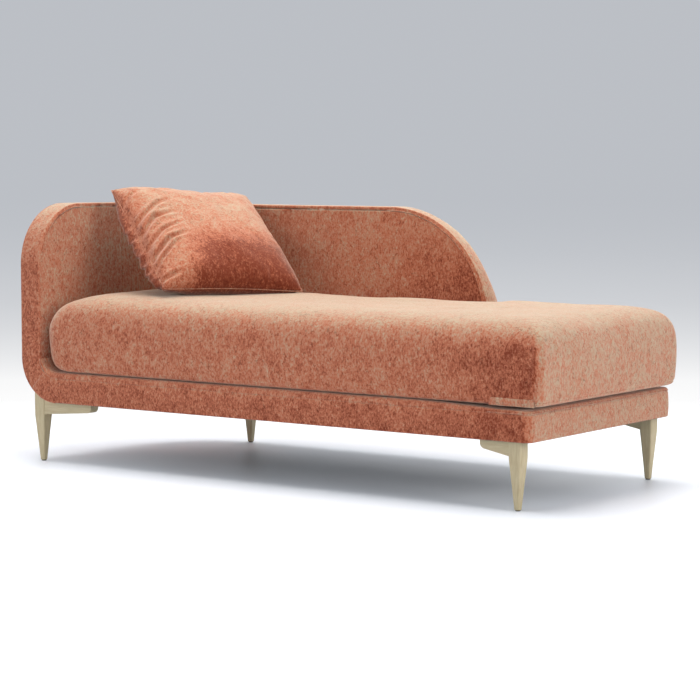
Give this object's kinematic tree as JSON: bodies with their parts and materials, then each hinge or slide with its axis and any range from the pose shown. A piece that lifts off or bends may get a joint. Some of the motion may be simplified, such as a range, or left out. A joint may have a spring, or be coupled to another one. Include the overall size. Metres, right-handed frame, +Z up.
{
  "type": "chaise longue",
  "caption": "Chaise longue with a rounded arm and curved back, a thick loose seat cushion, a loose pillow and tapered wooden legs.",
  "frame": {"origin": "on the floor, under the middle of the whole part's outer size", "axes": "+X from the arm towards the open end, +Y from the front towards the back, +Z up"},
  "size_m": [1.715, 0.73, 0.7757],
  "materials": {
    "velvet": "napped velvet, rust red",
    "foam": "upholstery foam and wadding",
    "frame_timber": "rough sawn softwood",
    "board": "plywood",
    "oak": "pale oak, satin oil",
    "dowel_wood": "beech",
    "webbing": "woven elastic webbing",
    "dust_cloth": "spunbond cloth",
    "steel": "zinc plated",
    "glide_plastic": "moulded plastic"
  },
  "bodies": {
    "frame": {"arm_outer_cover": "velvet", "arm_inner_cover": "velvet", "arm_rim_cover": "velvet", "corner_outer_cover": "velvet", "corner_inner_cover": "velvet", "corner_rim_cover": "velvet", "back_outer_cover": "velvet", "back_inner_cover": "velvet", "back_rim_cover": "velvet", "base_band_cover": "velvet", "deck_cover": "velvet", "arm_outer_pad": "foam", "arm_inner_pad": "foam", "arm_rim_pad": "foam", "front_corner_pad": "foam", "corner_outer_pad": "foam", "corner_inner_pad": "foam", "corner_rim_pad": "foam", "back_outer_pad": "foam", "back_inner_pad": "foam", "back_rim_pad": "foam", "band_pad": "foam", "deck_pad": "foam", "front_rail": "frame_timber", "rear_rail": "frame_timber", "right_rail": "frame_timber", "cross_rails": "frame_timber", "left_sill": "frame_timber", "corner_sill": "frame_timber", "corner_gusset": "frame_timber", "arm_posts": "frame_timber", "arm_top_batten": "frame_timber", "corner_top_batten": "frame_timber", "back_posts": "frame_timber", "back_top_batten": "frame_timber", "arm_outer_board": "board", "arm_inner_board": "board", "corner_outer_board": "board", "corner_inner_board": "board", "back_outer_board": "board", "back_inner_board": "board", "front_left_leg": "oak", "front_left_wing": "oak", "front_right_leg": "oak", "front_right_wing": "oak", "rear_right_leg": "oak", "rear_right_wing": "oak", "rear_left_leg": "oak", "rear_left_wing": "oak", "webbing": "webbing", "dust_cover": "dust_cloth", "leg_bolts": "steel", "wing_screws": "steel", "wing_dowels": "dowel_wood", "foot_glides": "glide_plastic"},
    "seat_cushion": {"seat_cushion_core": "foam", "seat_cushion_cover": "velvet"},
    "pillow": {"pillow_fill": "foam", "pillow_cover": "velvet"}
  },
  "joints": [
    {"name": "seat_cushion_lift", "type": "slide", "parent": "frame", "child": "seat_cushion", "axis": [0, 0, 1], "range_m": [0, 0.5]},
    {"name": "pillow_lift", "type": "slide", "parent": "seat_cushion", "child": "pillow", "axis": [0, 0, 1], "range_m": [0, 0.35]}
  ]
}
